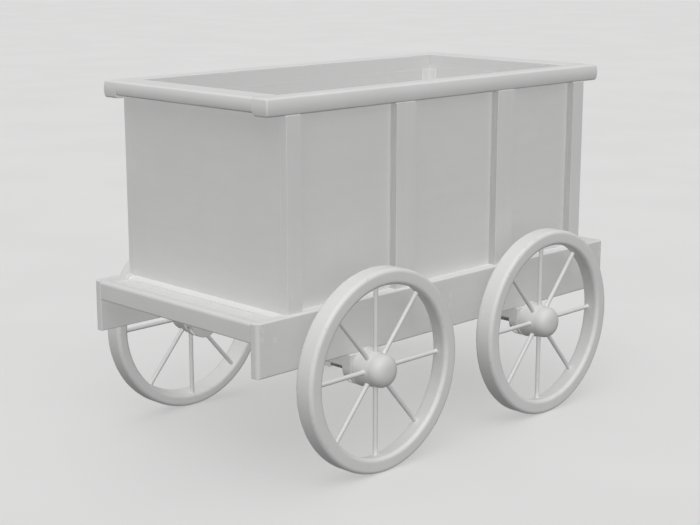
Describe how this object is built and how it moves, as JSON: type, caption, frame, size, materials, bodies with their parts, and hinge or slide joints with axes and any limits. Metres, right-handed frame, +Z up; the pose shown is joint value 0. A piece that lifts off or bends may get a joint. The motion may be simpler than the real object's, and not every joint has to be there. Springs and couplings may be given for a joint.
{
  "type": "mine cart",
  "caption": "Open box-shaped tub with posts and rounded cap rails on a flat timber chassis, carried by large spoked iron wheels that turn on fixed axle arms.",
  "frame": {"origin": "on the ground in the middle of the cart, midway between the four wheels", "axes": "+X along the length towards the rear end, +Y across to the right-hand side, +Z up"},
  "size_m": [1.319, 0.806, 0.923],
  "materials": {
    "painted_timber": "planed timber under matt pale grey paint",
    "painted_wheel_iron": "wrought and cast iron under matt pale grey paint",
    "painted_fastener": "steel under matt pale grey paint",
    "bare_steel": "turned steel, oiled",
    "bronze": "turned bronze"
  },
  "bodies": {
    "cart": {"tub_floor": "painted_timber", "side_panel_left": "painted_timber", "side_panel_right": "painted_timber", "end_panel_front": "painted_timber", "end_panel_rear": "painted_timber", "posts_left": "painted_timber", "posts_right": "painted_timber", "side_rail_left": "painted_timber", "side_rail_right": "painted_timber", "end_rail_front": "painted_timber", "end_rail_rear": "painted_timber", "end_cleats": "painted_timber", "side_cleats": "painted_timber", "corner_irons": "painted_fastener", "tub_screws": "painted_fastener", "sill_left": "painted_timber", "sill_right": "painted_timber", "end_beam_front": "painted_timber", "end_beam_rear": "painted_timber", "deck_boards": "painted_timber", "end_bearer_front": "painted_timber", "end_bearer_rear": "painted_timber", "middle_bearer": "painted_timber", "bolster_front": "painted_timber", "bolster_rear": "painted_timber", "bolster_angles": "painted_fastener", "axle_front": "bare_steel", "axle_rear": "bare_steel", "axle_clips": "painted_fastener", "axle_box_fl": "painted_wheel_iron", "axle_box_fr": "painted_wheel_iron", "axle_box_rl": "painted_wheel_iron", "axle_box_rr": "painted_wheel_iron", "chassis_screws": "painted_fastener", "countersunk_screws": "painted_fastener", "tub_bolts": "bare_steel", "tub_bolt_nuts": "bare_steel", "axle_washers": "bare_steel", "axle_nuts": "bare_steel", "axle_pins": "bare_steel"},
    "wheel_fl": {"rim_fl": "painted_wheel_iron", "spokes_fl": "painted_wheel_iron", "hub_fl": "painted_wheel_iron", "bush_fl": "bronze", "hub_cap_fl": "painted_wheel_iron"},
    "wheel_fr": {"rim_fr": "painted_wheel_iron", "spokes_fr": "painted_wheel_iron", "hub_fr": "painted_wheel_iron", "bush_fr": "bronze", "hub_cap_fr": "painted_wheel_iron"},
    "wheel_rl": {"rim_rl": "painted_wheel_iron", "spokes_rl": "painted_wheel_iron", "hub_rl": "painted_wheel_iron", "bush_rl": "bronze", "hub_cap_rl": "painted_wheel_iron"},
    "wheel_rr": {"rim_rr": "painted_wheel_iron", "spokes_rr": "painted_wheel_iron", "hub_rr": "painted_wheel_iron", "bush_rr": "bronze", "hub_cap_rr": "painted_wheel_iron"}
  },
  "joints": [
    {"name": "wheel_fl_spin", "type": "hinge", "parent": "cart", "child": "wheel_fl", "pos_m": [-0.319, -0.3665, 0.2525], "axis": [0, 1, 0], "continuous": true},
    {"name": "wheel_fr_spin", "type": "hinge", "parent": "cart", "child": "wheel_fr", "pos_m": [-0.319, 0.3665, 0.2525], "axis": [0, 1, 0], "continuous": true},
    {"name": "wheel_rl_spin", "type": "hinge", "parent": "cart", "child": "wheel_rl", "pos_m": [0.319, -0.3665, 0.2525], "axis": [0, 1, 0], "continuous": true},
    {"name": "wheel_rr_spin", "type": "hinge", "parent": "cart", "child": "wheel_rr", "pos_m": [0.319, 0.3665, 0.2525], "axis": [0, 1, 0], "continuous": true}
  ]
}
